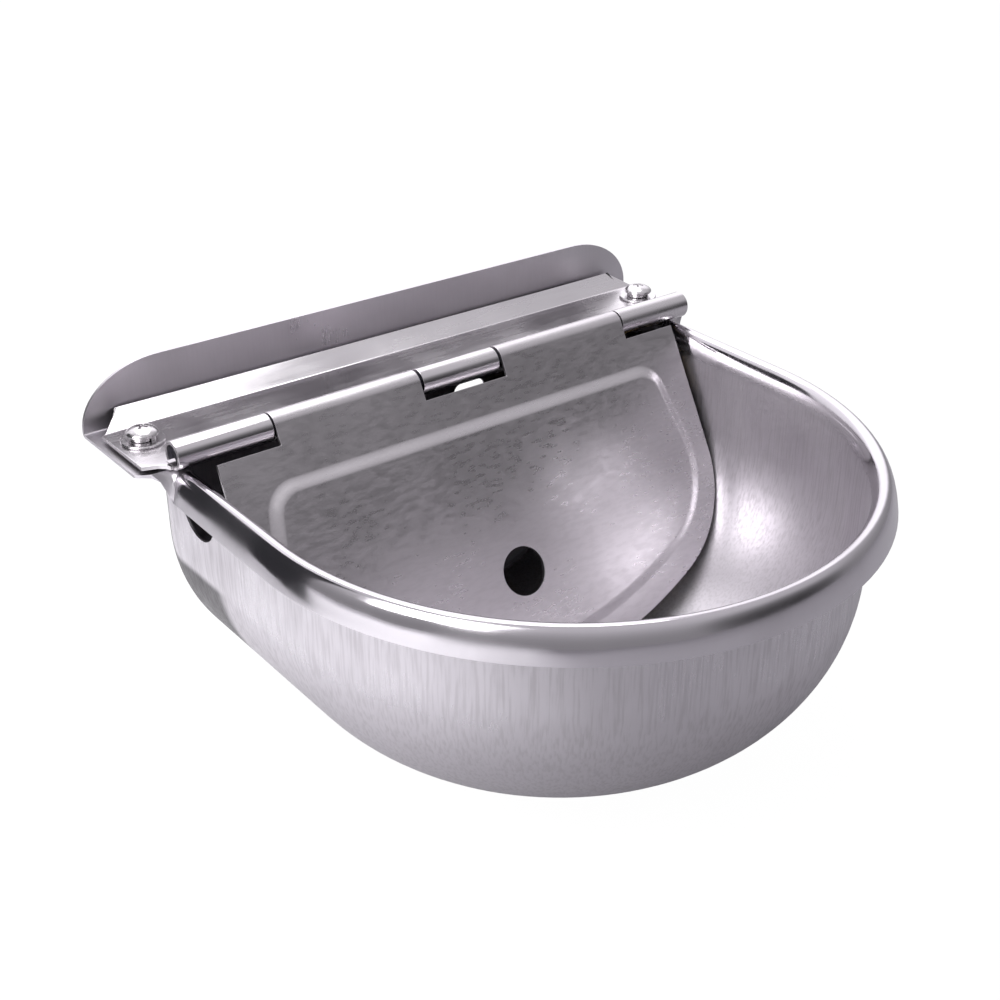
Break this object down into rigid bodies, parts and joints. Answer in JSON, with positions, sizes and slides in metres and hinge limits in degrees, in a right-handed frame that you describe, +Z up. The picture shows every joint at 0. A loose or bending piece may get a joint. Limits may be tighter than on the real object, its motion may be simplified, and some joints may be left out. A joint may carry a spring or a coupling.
{
  "type": "livestock drinking bowl",
  "caption": "Wall-mounted pressed stainless drinking bowl with a rolled rim, a hinged guard cover and a piston float valve behind it.",
  "frame": {"origin": "on the wall face of the back plate, on the centre line, level with the top of the flange", "axes": "+X to the right seen from the front, +Y into the wall, +Z up"},
  "size_m": [0.274, 0.241, 0.147],
  "materials": {
    "pressed_steel": "satin rolled stainless sheet with fine drawing lines",
    "bracket_steel": "satin rolled stainless sheet",
    "cover_steel": "satin rolled stainless sheet",
    "pin_steel": "drawn stainless bar",
    "screw_steel": "bright stainless fasteners",
    "valve_brass": "machined brass",
    "seal_rubber": "black rubber",
    "strainer_plastic": "natural nylon",
    "float_plastic": "black moulded plastic"
  },
  "bodies": {
    "bowl": {"drinking_bowl": "pressed_steel", "hinge_bracket": "bracket_steel", "hinge_pin": "pin_steel", "bracket_screws": "screw_steel", "lock_washers": "screw_steel", "flat_washers": "screw_steel", "bracket_nuts": "screw_steel", "sealing_washer": "seal_rubber", "backing_washer": "screw_steel", "inlet_locknut": "valve_brass", "valve_body": "valve_brass", "valve_end_cap": "valve_brass", "valve_nozzle": "valve_brass", "inlet_strainer": "strainer_plastic", "pivot_pin": "screw_steel", "pivot_clip": "screw_steel"},
    "cover": {"guard_cover": "cover_steel"},
    "piston": {"valve_piston": "valve_brass", "piston_seal": "seal_rubber"},
    "float_arm": {"float_lever": "valve_brass", "clamp_screw": "valve_brass", "float_rod": "pin_steel", "float_locknut": "screw_steel", "valve_float": "float_plastic"}
  },
  "joints": [
    {"name": "cover_hinge", "type": "hinge", "parent": "bowl", "child": "cover", "pos_m": [0, -0.051, 0.007], "axis": [-1, 0, 0], "range_deg": [0, 170]},
    {"name": "float_pivot", "type": "hinge", "parent": "bowl", "child": "float_arm", "pos_m": [0.084, -0.0445, -0.047], "axis": [0, 1, 0], "range_deg": [0, 20]},
    {"name": "piston_slide", "type": "slide", "parent": "bowl", "child": "piston", "axis": [1, 0, 0], "range_m": [0, 0.0053]}
  ],
  "couplings": [
    {"joint": "piston_slide", "follows": "float_pivot", "m_per_rad": 0.015}
  ]
}
